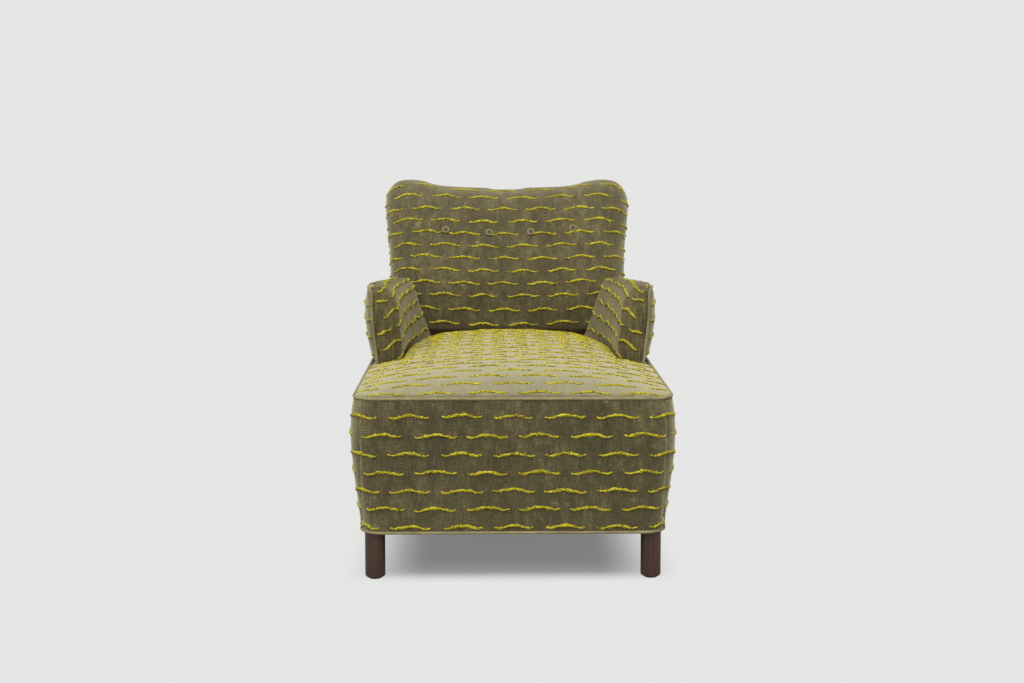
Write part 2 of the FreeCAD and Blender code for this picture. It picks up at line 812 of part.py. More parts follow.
os.makedirs("parts", exist_ok=True)
pieces = make_all()
extent = Part.Compound(list(pieces.values())).optimalBoundingBox(False)
to_origin = vector(0, -(extent.YMin + extent.YMax) / 2, 0)
for name, piece in pieces.items():
    piece.translated(to_origin).exportStep("parts/" + name + ".step")
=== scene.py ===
import bpy
import json
import math
import random
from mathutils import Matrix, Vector, interpolate, noise
from mathutils.bvhtree import BVHTree


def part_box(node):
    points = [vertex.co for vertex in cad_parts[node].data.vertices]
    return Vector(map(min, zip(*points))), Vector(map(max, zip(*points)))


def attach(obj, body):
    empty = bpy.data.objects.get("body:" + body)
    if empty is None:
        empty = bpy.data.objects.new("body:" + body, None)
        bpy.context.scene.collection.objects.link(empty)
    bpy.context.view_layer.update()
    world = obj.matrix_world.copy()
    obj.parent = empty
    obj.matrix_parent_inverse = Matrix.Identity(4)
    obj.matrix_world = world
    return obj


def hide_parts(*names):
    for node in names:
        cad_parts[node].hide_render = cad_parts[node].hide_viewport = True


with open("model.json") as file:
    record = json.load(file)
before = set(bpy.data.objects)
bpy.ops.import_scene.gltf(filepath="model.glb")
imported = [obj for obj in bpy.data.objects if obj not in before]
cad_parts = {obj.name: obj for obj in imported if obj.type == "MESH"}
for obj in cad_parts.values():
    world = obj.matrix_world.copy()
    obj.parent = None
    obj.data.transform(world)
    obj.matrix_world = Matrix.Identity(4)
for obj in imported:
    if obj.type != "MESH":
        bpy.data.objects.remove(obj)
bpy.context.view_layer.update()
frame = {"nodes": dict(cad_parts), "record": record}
nodes = frame["nodes"]
print("frame loaded,", len(nodes), "nodes")

millimetre = 0.001


# small tools


def deselectAll():
    if bpy.context.mode != "OBJECT":
        bpy.ops.object.mode_set(mode="OBJECT")
    bpy.ops.object.select_all(action="DESELECT")


def pick(obj):  # the only selected object, and the active one
    deselectAll()
    obj.select_set(True)
    bpy.context.view_layer.objects.active = obj
    return obj


def editAll(obj):  # edit mode with everything selected
    pick(obj)
    bpy.ops.object.mode_set(mode="EDIT")
    bpy.ops.mesh.select_all(action="SELECT")


def leaveEdit():
    bpy.ops.object.mode_set(mode="OBJECT")


def named(name):  # names the object that an operator has just added
    obj = bpy.context.object
    obj.name = name
    obj.data.name = name
    return obj


def applyModifier(obj, kind, **settings):
    pick(obj)
    modifier = obj.modifiers.new(kind.lower(), kind)
    for key, value in settings.items():
        setattr(modifier, key, value)
    bpy.ops.object.modifier_apply(modifier=modifier.name)


def selectEdges(obj, test):  # in edit mode: only the edges whose two ends pass the test
    bpy.ops.mesh.select_mode(type="EDGE")
    bpy.ops.mesh.select_all(action="DESELECT")
    leaveEdit()
    points = [vertex.co for vertex in obj.data.vertices]
    for edge in obj.data.edges:
        edge.select = test(points[edge.vertices[0]], points[edge.vertices[1]])
    bpy.ops.object.mode_set(mode="EDIT")


def placed(name, mesh):  # a new object in the scene
    obj = bpy.data.objects.new(name, mesh)
    bpy.context.scene.collection.objects.link(obj)
    return obj


def portion(value, start, end):  # 0 before the start, 1 past the end, even between
    return min(1, max(0, (value - start) / (end - start)))


def copyNode(node, name):  # a CAD node's mesh as a new piece, welded
    mesh = nodes[node].data.copy()
    mesh.materials.clear()
    obj = placed(name, mesh)
    editAll(obj)
    bpy.ops.mesh.remove_doubles(threshold=0.02 * millimetre)
    leaveEdit()
    return obj


def looseParts(obj):
    editAll(obj)
    bpy.ops.mesh.separate(type="LOOSE")
    leaveEdit()
    return list(bpy.context.selected_objects)


def keepLargest(parts):
    parts.sort(key=lambda part: sum(face.area for face in part.data.polygons))
    kept = parts.pop()
    for part in parts:
        bpy.data.objects.remove(part)
    return kept


def outerSkin(node, name):  # the outer face of a cover, without its inner face and its edges
    obj = copyNode(node, name)
    applyModifier(obj, "EDGE_SPLIT", split_angle=math.radians(48), use_edge_sharp=False)
    skin = keepLargest(looseParts(obj))
    skin.name = name
    return skin


def joined(objects):
    pick(objects[0])
    for obj in objects[1:]:
        obj.select_set(True)
    bpy.ops.object.join()
    return objects[0]


def moveOut(obj, amount):  # moves each point along its normal by what the rule gives for it
    moves = [vertex.normal * amount(vertex.co, vertex.normal) for vertex in obj.data.vertices]
    for vertex, move in zip(obj.data.vertices, moves):
        vertex.co += move


def smoothShade(obj):
    pick(obj)
    bpy.ops.object.shade_smooth()
    return obj


def treeOf(node):
    mesh = nodes[node].data
    return BVHTree.FromPolygons([v.co for v in mesh.vertices], [list(p.vertices) for p in mesh.polygons])


# camera, floor and light

stageLook = {
    "lens": 50,
    "sensor": 36,
    "cameraPlace": (-0.051, -3.905, 1.026),
    "pitchDown": 5.0,
    "shiftDown": 0.078,
    "turnRight": 0.85,
    "backdrop": (0.785, 0.787, 0.78),
    "floorColour": (0.34, 0.34, 0.33),
    "floorSize": 60,
    "shadowLift": 0.26,
    "shadowSide": (0.2, 0.42),
    "shadowFront": (0.6, 0.7),
    "shadowRear": (0.45, 0.9),
    "skyStrength": 0.35,
    "sunStrength": 2.65,
    "sunAngle": 60,
    "sunTilt": 32,
    "sunTurn": -10,
}


def makeCamera():
    bpy.ops.object.camera_add(
        location=stageLook["cameraPlace"],
        rotation=(math.radians(90 - stageLook["pitchDown"]), 0, -math.radians(stageLook["turnRight"])),
    )
    camera = named("photoCamera")
    camera.data.lens = stageLook["lens"]
    camera.data.sensor_width = stageLook["sensor"]
    camera.data.shift_y = -stageLook["shiftDown"]  # the photograph is cropped, so its middle lies low
    bpy.context.scene.camera = camera


# shader wiring: a Wire is one output socket, and sums on wires add Math nodes


class Wire:
    def __init__(self, finish, socket):
        self.finish = finish
        self.socket = socket

    def calc(self, operation, *values):
        return self.finish.add("ShaderNodeMath", {"operation": operation}, dict(enumerate(values)))

    def __add__(self, other):
        return self.calc("ADD", self, other)

    def __radd__(self, other):
        return self.calc("ADD", other, self)

    def __sub__(self, other):
        return self.calc("SUBTRACT", self, other)

    def __rsub__(self, other):
        return self.calc("SUBTRACT", other, self)

    def __mul__(self, other):
        return self.calc("MULTIPLY", self, other)

    def __rmul__(self, other):
        return self.calc("MULTIPLY", other, self)

    def clamped(self):
        return self.finish.add("ShaderNodeClamp", {}, {"Value": self})

    def between(self, low, high):  # 0 at low, 1 at high, smooth
        settings = {"interpolation_type": "SMOOTHSTEP"}
        return self.finish.add("ShaderNodeMapRange", settings, {"Value": self, 1: low, 2: high})


class Finish:
    def __init__(self, name, data=None):
        self.data = data or bpy.data.materials.new(name)
        self.data.use_nodes = True
        self.tree = self.data.node_tree
        self.tree.nodes.clear()

    def add(self, kind, settings={}, sockets={}, output=0):
        node = self.tree.nodes.new(kind)
        for key, value in settings.items():
            if key == "stops":
                self.setStops(node.color_ramp, value)
            else:
                setattr(node, key, value)
        for key, value in sockets.items():
            if isinstance(value, Wire):
                self.tree.links.new(value.socket, node.inputs[key])
            elif node.inputs[key].type == "RGBA":
                node.inputs[key].default_value = (*value, 1)
            else:
                node.inputs[key].default_value = value
        return Wire(self, node.outputs[output]) if node.outputs else None

    def setStops(self, ramp, stops):
        while len(ramp.elements) < len(stops):
            ramp.elements.new(1)
        for element, (place, colour) in zip(ramp.elements, stops):
            element.position = place
            element.color = (*colour, 1)

    def objectPlace(self):
        return self.add("ShaderNodeTexCoord", output=3)

    def clothPlace(self):  # metres along the weft and along the warp
        return self.add("ShaderNodeUVMap", {"uv_map": "cloth"})

    def grain(self, place, scale, detail=2, roughness=0.5):  # noise, stretched by a scale for each axis
        spot = self.add("ShaderNodeVectorMath", {"operation": "MULTIPLY"}, {0: place, 1: scale})
        values = {"Vector": spot, "Scale": 1, "Detail": detail, "Roughness": roughness}
        return self.add("ShaderNodeTexNoise", {}, values)

    def mix(self, factor, one, other):
        return self.add("ShaderNodeMix", {"data_type": "RGBA"}, {0: factor, 6: one, 7: other}, output=2)

    def ramp(self, value, stops):
        return self.add("ShaderNodeValToRGB", {"stops": stops}, {"Fac": value})

    def bump(self, height, distance, strength=1.0):
        return self.add("ShaderNodeBump", {}, {"Height": height, "Distance": distance, "Strength": strength})

    def surface(self, **sockets):  # the Principled shader and the output
        values = {key.replace("_", " "): value for key, value in sockets.items()}
        shader = self.add("ShaderNodeBsdfPrincipled", {}, values)
        self.add("ShaderNodeOutputMaterial", {}, {"Surface": shader})
        return self.data


def srgb(red, green, blue):
    def straight(value):
        share = value / 255
        return share / 12.92 if share <= 0.04045 else ((share + 0.055) / 1.055) ** 2.4

    return (straight(red), straight(green), straight(blue))


def makeFloor():
    deselectAll()
    bpy.ops.mesh.primitive_grid_add(x_subdivisions=8, y_subdivisions=8, size=stageLook["floorSize"])
    floor = named("studioFloor")
    finish = Finish("paleFloor")
    place = finish.objectPlace()
    across = finish.add("ShaderNodeSeparateXYZ", {}, {0: place}, output=0)
    along = finish.add("ShaderNodeSeparateXYZ", {}, {0: place}, output=1)
    side = across.calc("ABSOLUTE", across).between(*stageLook["shadowSide"])
    front = (0 - along).between(*stageLook["shadowFront"])
    rear = along.between(*stageLook["shadowRear"])
    under = (1 - side) * (1 - front) * (1 - rear)  # the floor shows its shadow under the base and near it
    far = 1 - under * (1 - stageLook["shadowLift"])
    seen = finish.add("ShaderNodeLightPath", output=0)
    mottle = finish.grain(place, (3, 3, 3), 3)
    colour = finish.mix(mottle * 0.06, stageLook["floorColour"], stageLook["backdrop"])
    lit = finish.add("ShaderNodeBsdfDiffuse", {}, {"Color": colour})
    glow = finish.add("ShaderNodeEmission", {}, {"Color": stageLook["backdrop"], "Strength": 1})
    both = finish.add("ShaderNodeMixShader", {}, {0: far * seen, 1: lit, 2: glow})
    finish.add("ShaderNodeOutputMaterial", {}, {"Surface": both})
    floor.data.materials.append(finish.data)


def makeLight():
    world = bpy.data.worlds.new("softStudio")
    bpy.context.scene.world = world
    finish = Finish("softStudio", world)
    path = finish.add("ShaderNodeLightPath", output=0)
    glossy = finish.add("ShaderNodeLightPath", output=3)
    through = finish.add("ShaderNodeLightPath", output=6)
    shown = (path + glossy + through).clamped()
    sky = finish.add("ShaderNodeBackground", {}, {"Color": (1, 1, 1), "Strength": stageLook["skyStrength"]})
    backdrop = finish.add("ShaderNodeBackground", {}, {"Color": stageLook["backdrop"], "Strength": 1})
    both = finish.add("ShaderNodeMixShader", {}, {0: shown, 1: sky, 2: backdrop})
    finish.add("ShaderNodeOutputWorld", {}, {"Surface": both})
    tilt = (math.radians(stageLook["sunTilt"]), 0, math.radians(stageLook["sunTurn"]))
    bpy.ops.object.light_add(type="SUN", location=(0, -1, 3), rotation=tilt)
    sun = named("overheadSoftbox")
    sun.data.energy = stageLook["sunStrength"]
    sun.data.angle = math.radians(stageLook["sunAngle"])


makeCamera()
makeFloor()
makeLight()
bpy.context.scene.view_settings.view_transform = "Standard"
print("camera, floor and light set")


# finishes

velvetLook = {
    "deep": srgb(38, 32, 12),
    "middle": srgb(80, 71, 42),
    "pale": srgb(150, 141, 98),
    "sheen": srgb(255, 247, 204),
}


def makeVelvet(name, sheen, nap, lift=0.0):  # the nap lies differently on the seat, the arms and the rest; lift paints the base colour lighter, a painted sheen
    finish = Finish(name)
    place = finish.clothPlace()
    cloud = finish.grain(place, (6, 4, 1), 4, 0.6)
    crush = finish.grain(place, (40, 18, 1), 5, 0.65)
    worn = finish.grain(place, (13, 17, 1), 4, 0.65).between(0.58, 0.74)
    warp = finish.grain(place, (500, 30, 1), 3, 0.7)
    weft = finish.grain(place, (40, 480, 1), 3, 0.7)
    pile = finish.grain(place, (420, 420, 1), 3, 0.75)
    # lift raises the whole base colour: painted sheen, standing in for the light that the seat and arms catch
    shade = 0.46 + lift + (cloud - 0.5) * 0.6 + (crush - 0.5) * 0.7 + (warp - 0.5) * 0.9 + (weft - 0.5) * 0.7
    shade = shade + (pile - 0.5) * 1.3 + worn * 0.32
    stops = [(0.12, velvetLook["deep"]), (0.5, velvetLook["middle"]), (0.95, velvetLook["pale"])]
    colour = finish.ramp(shade, stops)
    relief = warp * 0.6 + weft * 0.4 + pile * 0.5 + crush * 0.8
    return finish.surface(
        Base_Color=colour,
        Roughness=0.86 - crush * 0.2,
        Normal=finish.bump(relief, 0.0012, 0.7),
        Sheen_Weight=sheen,
        Sheen_Roughness=nap,
        Sheen_Tint=velvetLook["sheen"],
        Specular_IOR_Level=0.2,
    )


def makeYarn():
    finish = Finish("boucleYarn")
    place = finish.objectPlace()
    cells = {"Vector": place, "Scale": 420, "Randomness": 1}
    loops = finish.add("ShaderNodeTexVoronoi", {"feature": "F1"}, cells)
    curl = finish.grain(place, (620, 620, 620), 3, 0.6)
    tone = finish.grain(place, (45, 45, 45), 2)
    # the loops term paints shade into the gaps between the yarn's loops and lightens the loop tops, a painted
    # shade and highlight; curl and tone are random yarn tone
    light = 0.5 + (0.42 - loops) * 0.9 + (curl - 0.5) * 1.5 + (tone - 0.5) * 0.5
    stops = [
        (0.2, srgb(78, 66, 0)),
        (0.38, srgb(190, 170, 0)),
        (0.54, srgb(240, 222, 14)),
        (0.82, srgb(255, 248, 96)),
    ]
    return finish.surface(
        Base_Color=finish.ramp(light, stops),
        Roughness=0.82,
        Normal=finish.bump(curl - loops * 0.8, 0.0022),
        Sheen_Weight=0.25,
        Sheen_Roughness=0.4,
        Sheen_Tint=srgb(240, 232, 120),
    )


def makePiping():
    finish = Finish("pipingCloth")
    place = finish.objectPlace()
    weave = finish.grain(place, (900, 900, 900), 2)
    patch = finish.grain(place, (30, 30, 30), 3)
    stops = [(0.2, srgb(104, 94, 60)), (0.5, srgb(152, 140, 98)), (0.85, srgb(190, 178, 134))]
    return finish.surface(
        Base_Color=finish.ramp(patch * 0.6 + weave * 0.4, stops),
        Roughness=0.8,
        Normal=finish.bump(weave, 0.0008, 0.8),
        Sheen_Weight=0.4,
        Sheen_Roughness=0.35,
        Sheen_Tint=velvetLook["sheen"],
    )


def makeStainedWood():
    finish = Finish("stainedLeg")
    place = finish.objectPlace()
    grain = finish.grain(place, (160, 160, 5), 4, 0.6)
    pores = finish.grain(place, (700, 700, 22), 2)
    cloud = finish.grain(place, (24, 24, 14), 3)
    stops = [(0.2, srgb(34, 19, 11)), (0.5, srgb(66, 42, 27)), (0.85, srgb(100, 68, 46))]
    return finish.surface(
        Base_Color=finish.ramp(grain * 0.6 + cloud * 0.3 + pores * 0.1, stops),
        Roughness=0.42 + pores * 0.15,
        Normal=finish.bump(pores + grain * 0.4, 0.0004, 0.6),
        Coat_Weight=0.25 + grain * 0.1,
        Coat_Roughness=0.28,
    )


def makePlain(name, dark, light, scale, roughness, bumpHeight, metallic=0.0):  # two tones of grain
    finish = Finish(name)
    stops = [(0.3, srgb(*dark)), (0.7, srgb(*light))]
    place = finish.objectPlace()
    grain = finish.grain(place, scale, 3, 0.6)
    return finish.surface(
        Base_Color=finish.ramp(grain, stops),
        Roughness=roughness + (grain - 0.5) * 0.15,
        Normal=finish.bump(grain, bumpHeight, 0.6),
        Metallic=metallic,
    )


velvet = makeVelvet("slubVelvet", 0.95, 0.54)
# the seat and arm copies carry a lift: their base colour is painted lighter, a painted sheen
seatVelvetPaintedSheen = makeVelvet("seatVelvetPaintedSheen", 1.0, 0.74, 0.06)
armVelvetPaintedSheen = makeVelvet("armVelvetPaintedSheen", 0.4, 0.36, 0.14)
yarn = makeYarn()
piping = makePiping()
stainedWood = makeStainedWood()
slotFinishes = {
    "frame_wood": makePlain("rawBeech", (176, 136, 92), (206, 168, 122), (90, 12, 90), 0.6, 0.0004),
    "padding": makePlain("feltPadding", (206, 200, 182), (232, 228, 214), (300, 300, 300), 0.9, 0.001),
    "webbing": makePlain("juteWebbing", (72, 60, 44), (120, 100, 72), (500, 500, 500), 0.85, 0.0008),
    "hessian": makePlain("plainHessian", (150, 118, 76), (190, 158, 112), (700, 700, 700), 0.9, 0.0006),
    "dust_cloth": makePlain("blackDustCloth", (16, 16, 16), (38, 38, 38), (800, 800, 800), 0.9, 0.0005),
    "bolt_steel": makePlain("zincSteel", (150, 150, 152), (184, 184, 186), (200, 200, 30), 0.35, 0.0002, 1.0),
    "glide_plastic": makePlain("glideNylon", (26, 24, 22), (44, 40, 36), (400, 400, 400), 0.5, 0.0002),
    "velvet": velvet,
    "leg_wood": stainedWood,
}
for entry in frame["record"]["subparts"]:
    slots = nodes[entry["node"]].data.materials
    slots.clear()
    slots.append(slotFinishes[entry["material_slot"]])
print("finishes made")


def dress(obj, finish, slot, *stoodFor):  # stoodFor: the CAD nodes that the piece stands for
    obj.data.materials.clear()
    obj.data.materials.append(finish)
    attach(obj, "root")
    if stoodFor:
        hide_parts(*stoodFor)
    return obj


# cloth: each padded piece is marked in metres along its weft (u) and warp (v), as the cut cloth was


def layCloth(obj, covers, chart, reach=6 * millimetre, sewnTo={}, hidden=lambda normal: False):
    mesh = obj.data
    trees = {cover: treeOf(cover) for cover in covers}
    layer = mesh.uv_layers.get("cloth") or mesh.uv_layers.new(name="cloth")
    mesh.uv_layers.active = layer
    panels = {cover: {"uv": [], "faces": [], "corners": [], "numbers": []} for cover in covers}
    for face in mesh.polygons:
        nearest = min(((trees[cover].find_nearest(face.center)[3], cover) for cover in covers))
        cover = nearest[1]
        panels[cover]["numbers"].append(face.index)
        flat = []
        for loop in face.loop_indices:
            vertex = mesh.vertices[mesh.loops[loop].vertex_index]
            spot = chart(cover, vertex.co, vertex.normal)
            layer.data[loop].uv = spot
            flat.append(Vector((spot[0], spot[1], 0)))
        if nearest[0] < reach and not hidden(face.normal):
            panel = panels[sewnTo.get(cover, cover)]
            first = len(panel["uv"])
            panel["uv"].extend(flat)
            panel["faces"].append(list(range(first, first + len(flat))))
            corners = [mesh.vertices[number] for number in face.vertices]
            panel["corners"].extend((corner.co.copy(), corner.normal.copy()) for corner in corners)
    for panel in panels.values():
        panel["tree"] = BVHTree.FromPolygons(panel["uv"], panel["faces"]) if panel["faces"] else None
    return panels


def spotOn(panel, u, v):  # the place and the normal of a spot of the cut cloth, or None off its edge
    hit = panel["tree"].ray_cast(Vector((u, v, 1)), Vector((0, 0, -1)))
    if hit[2] is None:
        return None
    face = panel["faces"][hit[2]]
    weights = interpolate.poly_3d_calc([panel["uv"][corner] for corner in face], Vector((u, v, 0)))
    place = Vector()
    normal = Vector()
    for weight, corner in zip(weights, face):
        place += weight * panel["corners"][corner][0]
        normal += weight * panel["corners"][corner][1]
    return place, normal.normalized()


dashLook = {
    "pitch": 0.1197,
    "row": 0.0434,
    "length": 0.094,
    "arch": 0.0102,
    "upturn": 0.0056,
    "halfWide": 0.0035,
    "halfWideTip": 0.0018,
    "relief": 0.0031,
    "lean": 0.02,
    "stretch": (0.95, 1.05),
    "wander": 0.001,
    "lump": (0.65, 1.5),
    "tallSpread": (0.8, 1.2),
    "wideSpread": (0.85, 1.15),
    "strayAcross": 0.002,
    "strayUp": 0.0015,
    "fewestRings": 4,
    "rings": 17,
    "sides": 5,
    "seed": 11,
}
dashRandom = random.Random(dashLook["seed"])


def stray(amount):
    return dashRandom.uniform(-amount, amount)


def dashLine(share):  # height of the dash's middle line, from -1 at one tip to 1 at the other
    hump = dashLook["arch"] * (0.5 + 0.5 * math.cos(math.pi * share * 0.86))
    return hump + dashLook["upturn"] * max(0.0, (abs(share) - 0.68) / 0.32) ** 1.6


def dashRings(panel, uMiddle, vMiddle):  # the longest run of rings that lies on the panel
    runs = [[]]
    lean = stray(dashLook["lean"])
    stretch = dashRandom.uniform(*dashLook["stretch"])
    for number in range(dashLook["rings"]):
        share = 2 * number / (dashLook["rings"] - 1) - 1
        along = share * dashLook["length"] / 2 * stretch
        wander = stray(dashLook["wander"])
        spot = spotOn(panel, uMiddle + along, vMiddle + dashLine(share) + along * lean + wander)
        lump = dashRandom.uniform(*dashLook["lump"])
        taper = 1 - abs(share) ** 2.2
        wide = (dashLook["halfWideTip"] + (dashLook["halfWide"] - dashLook["halfWideTip"]) * taper) * lump
        tall = dashLook["relief"] * (0.55 + 0.45 * taper) * dashRandom.uniform(*dashLook["tallSpread"])
        if spot is None:
            runs.append([])
        else:
            runs[-1].append((spot[0], spot[1], wide, tall))
    return max(runs, key=len)


def addDash(points, faces, rings):
    sides = dashLook["sides"]
    first = len(points)
    for number, (place, normal, wide, tall) in enumerate(rings):
        before = rings[max(0, number - 1)][0]
        after = rings[min(len(rings) - 1, number + 1)][0]
        along = (after - before).normalized()
        across = normal.cross(along).normalized()
        for side in range(sides):
            turn = 2 * math.pi * (side + 0.5) / sides
            lift = tall * (0.25 + 0.95 * math.sin(turn))
            aside = across * wide * math.cos(turn) * dashRandom.uniform(*dashLook["wideSpread"])
            points.append(place + aside + normal * lift)
    for number in range(len(rings) - 1):
        base = first + number * sides
        for side in range(sides):
            following = (side + 1) % sides
            faces.append((base + side, base + following, base + sides + following, base + sides + side))
    faces.append(tuple(first + side for side in reversed(range(sides))))
    last = first + (len(rings) - 1) * sides
    faces.append(tuple(last + side for side in range(sides)))


def sewDashes(name, panel, rows):  # rows: first row, count, shift of the first row, and the span across
    points = []
    faces = []
    for number in range(rows["count"]):
        v = rows["first"] + number * dashLook["row"] * rows.get("step", 1)
        shift = rows["shift"] + (number % 2) * dashLook["pitch"] / 2
        low, high = rows["span"]
        u = shift + math.ceil((low - shift) / dashLook["pitch"]) * dashLook["pitch"]
        while u <= high:
            rings = dashRings(panel, u + stray(dashLook["strayAcross"]), v + stray(dashLook["strayUp"]))
            if len(rings) >= dashLook["fewestRings"]:
                addDash(points, faces, rings)
            u += dashLook["pitch"]
    mesh = bpy.data.meshes.new(name)
    mesh.from_pydata(points, [], faces)
    obj = placed(name, mesh)
    editAll(obj)
    bpy.ops.mesh.normals_make_consistent(inside=False)
    leaveEdit()
    smoothShade(obj)
    print(name, len(faces), "faces")
    return dress(obj, yarn, "velvet")


# padded pieces


def remeshed(obj, plan):
    form = placed("form", obj.data.copy())
    applyModifier(obj, "REMESH", mode="VOXEL", voxel_size=plan["voxel"])
    obj = keepLargest(looseParts(obj))
    applyModifier(obj, "SMOOTH", factor=0.5, iterations=plan["smooth"])
    applyModifier(obj, "SHRINKWRAP", target=form, wrap_method="NEAREST_SURFACEPOINT")
    applyModifier(obj, "SMOOTH", factor=0.5, iterations=1)
    bpy.data.objects.remove(form)
    obj.name = plan["name"]
    obj.data.name = plan["name"]
    return obj


def softened(obj, weights, turns):  # rounds the form off, each point by its weight
    group = obj.vertex_groups.new(name="soft")
    for vertex, weight in zip(obj.data.vertices, weights):
        group.add([vertex.index], min(1, max(0, weight)), "REPLACE")
    applyModifier(obj, "SMOOTH", factor=0.5, iterations=turns, vertex_group="soft")
    obj.vertex_groups.clear()


def freedom(obj, neighbours, room=0.05):  # 0 where a neighbour lies close in front, 1 where none does
    trees = [treeOf(node) for node in neighbours]
    shares = []
    for vertex in obj.data.vertices:
        start = vertex.co - vertex.normal * 4 * millimetre
        gaps = [tree.ray_cast(start, vertex.normal, room)[3] for tree in trees]
        shares.append(min([room] + [gap for gap in gaps if gap is not None]) / room)
    return shares


def swell(obj, plan):  # the stuffing presses the cloth out, each point by no more than the cap
    shares = freedom(obj, plan["neighbours"])
    rest = [vertex.co.copy() for vertex in obj.data.vertices]
    pick(obj)
    cloth = obj.modifiers.new("swell", "CLOTH")
    cloth.settings.use_pressure = True
    cloth.settings.uniform_pressure_force = plan["pressure"]
    cloth.settings.effector_weights.gravity = 0
    cloth.settings.quality = plan["quality"]
    for step in range(1, plan["frames"] + 1):
        bpy.context.scene.frame_set(step)
    bpy.ops.object.modifier_apply(modifier=cloth.name)
    bpy.context.scene.frame_set(1)
    for vertex, start, share in zip(obj.data.vertices, rest, shares):
        move = vertex.co - start
        limit = plan["cap"] * share
        if move.length > limit:
            move = move * (limit / move.length)
        vertex.co = start + move
    applyModifier(obj, "SMOOTH", factor=0.4, iterations=2)
    print(obj.name, "swelled")


def settle(obj, floor, gap=2 * millimetre, most=0.03, facing=0.03):  # lets a lower edge down onto the seat
    down = Vector((0, 0, -1))
    moves = []
    for vertex in obj.data.vertices:
        facesDown = vertex.normal.z < -facing
        drop = floor.ray_cast(vertex.co, down, most + gap)[3] if facesDown else None
        moves.append(max(0, drop - gap) if drop else 0)
    for vertex, move in zip(obj.data.vertices, moves):
        vertex.co.z -= move


def subdivided(obj):
    applyModifier(obj, "SUBSURF", levels=1, render_levels=1)
    smoothShade(obj)


def pushOut(obj, amount):
    editAll(obj)
    bpy.ops.transform.shrink_fatten(value=amount)
    leaveEdit()


# seat

seatPlan = {
    "name": "seatCushion",
    "voxel": 0.011,
    "smooth": 4,
    "pressure": 4,
    "quality": 3,
    "frames": 20,
    "cap": 0.004,
    "coverAndGap": 0.0028,
    "neighbours": ["left_inside_arm_cover", "right_inside_arm_cover", "inside_back_cover"],
    "sideReach": 0.009,
    "sideFrom": 0.28,
    "sideTo": 0.37,
    "sideEnd": (-0.19, -0.14),
    "reach": 0.014,
    "rows": {"first": 0.0165, "count": 25, "shift": dashLook["pitch"] / 2, "span": (-0.42, 0.42)},
    "frontRise": 0.004,
    "frontRiseReach": 0.06,
}


def makeSeat():
    seat = copyNode("seat_pad", seatPlan["name"])
    pushOut(seat, seatPlan["coverAndGap"])
    seat = remeshed(seat, seatPlan)
    first, last = seatPlan["sideEnd"]
    for vertex in seat.data.vertices:  # in front of the arms the cloth reaches out to the welt
        share = portion(abs(vertex.co.x), seatPlan["sideFrom"], seatPlan["sideTo"])
        share *= portion(vertex.co.y, last, first)
        vertex.co.x += math.copysign(share * seatPlan["sideReach"], vertex.co.x)
    swell(seat, seatPlan)
    subdivided(seat)
    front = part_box("seat_cover")[0].y

    def chart(cover, place, normal):
        along = place.y - front
        return place.x, along + seatPlan["frontRise"] * (1 - math.exp(-along / seatPlan["frontRiseReach"]))

    panels = layCloth(seat, ["seat_cover"], chart, seatPlan["reach"])
    dress(seat, seatVelvetPaintedSheen, "velvet", "seat_pad", "seat_cover")
    sewDashes("seatDashes", panels["seat_cover"], seatPlan["rows"])
    return seat


seatTop = BVHTree.FromObject(makeSeat(), bpy.context.evaluated_depsgraph_get())
print("seat made")


# back

backPlan = {
    "name": "backCushion",
    "voxel": 0.0095,
    "smooth": 4,
    "pressure": 4,
    "quality": 3,
    "frames": 20,
    "cap": 0.004,
    "neighbours": ["left_inside_arm_cover", "right_inside_arm_cover", "seat_cover"],
    "bend": 0.548,
    "recline": math.radians(31),
    "dimple": 0.005,
    "dimpleReach": 0.032,
    "smile": 0.028,
    "droop": 0.056,
    "sideDroop": 0.4,
    "crest": 0.77,
    "crestSlope": 16,
    "crestTurns": 28,
    "topLift": 0.008,
    "earLift": 0.012,
    "earMiddle": 0.295,
    "earReach": 0.075,
    "liftFrom": (0.72, 0.86),
    "halfWide": 0.39,
    "faceHeight": 0.5,
    "edgeStart": 0.004,
    "reach": 0.024,
    "inside": {"first": 0.4482, "count": 12, "shift": 0.0473, "span": (-0.6, 0.6), "step": 0.986},
    "outside": {"first": 0.462, "count": 12, "shift": 0.0, "span": (-0.6, 0.6)},
}


